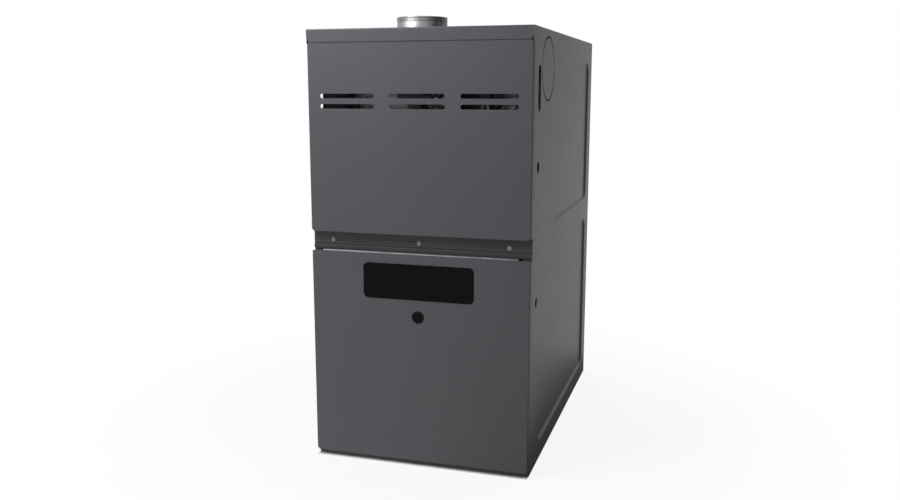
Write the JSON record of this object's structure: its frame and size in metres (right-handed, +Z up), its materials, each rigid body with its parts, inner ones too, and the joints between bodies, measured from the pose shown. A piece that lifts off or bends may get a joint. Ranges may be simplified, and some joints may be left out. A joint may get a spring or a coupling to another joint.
{
  "type": "forced air gas furnace",
  "caption": "Free-standing upflow gas furnace with swing-off louvred upper door and lower door, multi-tube heat exchanger, inducer, burners and blower in a sheet metal cabinet.",
  "frame": {"origin": "on the floor, at the middle of the cabinet", "axes": "+Z up, -Y towards the doors, +X to the right seen from the front"},
  "size_m": [0.454, 0.733, 0.9035],
  "materials": {
    "cabinet_paint": "satin powder coat",
    "rail_paint": "satin powder coat",
    "plate_black": "satin",
    "sight_lens": "glossy",
    "zinc": "bright zinc plate",
    "galvanised": "spangled zinc",
    "aluminised": "matt aluminised",
    "foil_face": "foil-faced blanket",
    "steel_shaft": "ground",
    "motor_paint": "satin",
    "fan_plastic": "satin",
    "manifold_paint": "satin",
    "brass_orifice": "turned",
    "valve_casting": "die cast",
    "red_plastic": "glossy",
    "ceramic_white": "unglazed",
    "dark_metal": "satin",
    "switch_shell": "zinc passivate",
    "hose_rubber": "matt",
    "yellow_wire": "glossy",
    "white_wire": "glossy",
    "board_green": "solder mask",
    "transformer_core": "varnished laminations",
    "white_plastic": "satin"
  },
  "bodies": {
    "cabinet": {"left_side_panel": "cabinet_paint", "right_side_panel": "cabinet_paint", "back_panel": "cabinet_paint", "top_panel": "cabinet_paint", "divider_rail": "rail_paint", "rail_screws": "zinc", "vent_collar": "galvanised", "base_frame": "galvanised", "blower_deck": "galvanised", "vestibule_panel": "galvanised", "blower_scroll": "galvanised", "blower_side_left": "galvanised", "blower_side_right": "galvanised", "control_panel": "galvanised", "junction_box": "galvanised", "inducer_housing": "galvanised", "burner_box": "galvanised", "collector_box": "galvanised", "tube_baffle": "galvanised", "blower_motor_mount": "galvanised", "heat_tube_1": "aluminised", "heat_tube_2": "aluminised", "heat_tube_3": "aluminised", "heat_tube_4": "aluminised", "burner_1": "aluminised", "burner_2": "aluminised", "burner_3": "aluminised", "burner_4": "aluminised", "left_liner": "foil_face", "right_liner": "foil_face", "back_liner": "foil_face", "blower_motor": "motor_paint", "inducer_motor": "motor_paint", "door_switch": "fan_plastic", "rollout_switch": "fan_plastic", "gas_manifold": "manifold_paint", "gas_orifices": "brass_orifice", "gas_valve": "valve_casting", "hot_surface_igniter": "ceramic_white", "flame_sensor": "ceramic_white", "limit_switch": "dark_metal", "pressure_switch": "switch_shell", "pressure_hose": "hose_rubber", "valve_wire": "yellow_wire", "inducer_wire": "white_wire", "control_board": "board_green", "transformer": "transformer_core"},
    "upper_door": {"upper_door": "cabinet_paint"},
    "lower_door": {"lower_door": "cabinet_paint", "blank_plate": "plate_black", "sight_glass": "sight_lens"},
    "blower_rotor": {"blower_wheel": "galvanised", "blower_blades": "galvanised", "blower_shaft": "steel_shaft"},
    "inducer_rotor": {"inducer_wheel": "galvanised", "inducer_shaft": "steel_shaft", "inducer_cooling_fan": "fan_plastic"},
    "door_switch_plunger": {"door_switch_plunger": "white_plastic"},
    "gas_switch_lever": {"gas_switch_lever": "red_plastic"},
    "rollout_reset_button": {"rollout_reset_button": "red_plastic"}
  },
  "joints": [
    {"name": "upper_door_swing", "type": "hinge", "parent": "cabinet", "child": "upper_door", "pos_m": [0, -0.365, 0.8507], "axis": [-1, 0, 0], "range_deg": [0, 80]},
    {"name": "lower_door_swing", "type": "hinge", "parent": "cabinet", "child": "lower_door", "pos_m": [0, -0.3542, 0.4415], "axis": [-1, 0, 0], "range_deg": [0, 80]},
    {"name": "door_switch_press", "type": "slide", "parent": "cabinet", "child": "door_switch_plunger", "axis": [0, -1, 0], "range_m": [0, 0.004]},
    {"name": "blower_spin", "type": "hinge", "parent": "cabinet", "child": "blower_rotor", "pos_m": [0, 0.08, 0.235], "axis": [1, 0, 0], "continuous": true},
    {"name": "inducer_spin", "type": "hinge", "parent": "cabinet", "child": "inducer_rotor", "pos_m": [0.03, -0.225, 0.74], "axis": [0, 1, 0], "continuous": true},
    {"name": "gas_switch_flip", "type": "hinge", "parent": "cabinet", "child": "gas_switch_lever", "pos_m": [0.15, -0.327, 0.644], "axis": [0, 1, 0], "range_deg": [0, 36]},
    {"name": "rollout_reset_press", "type": "slide", "parent": "cabinet", "child": "rollout_reset_button", "axis": [0, 0, 1], "range_m": [-0.002, 0], "stiffness_N_per_m": 100}
  ],
  "couplings": [
    {"joint": "door_switch_press", "follows": "lower_door_swing", "m_per_rad": 0.0028}
  ]
}
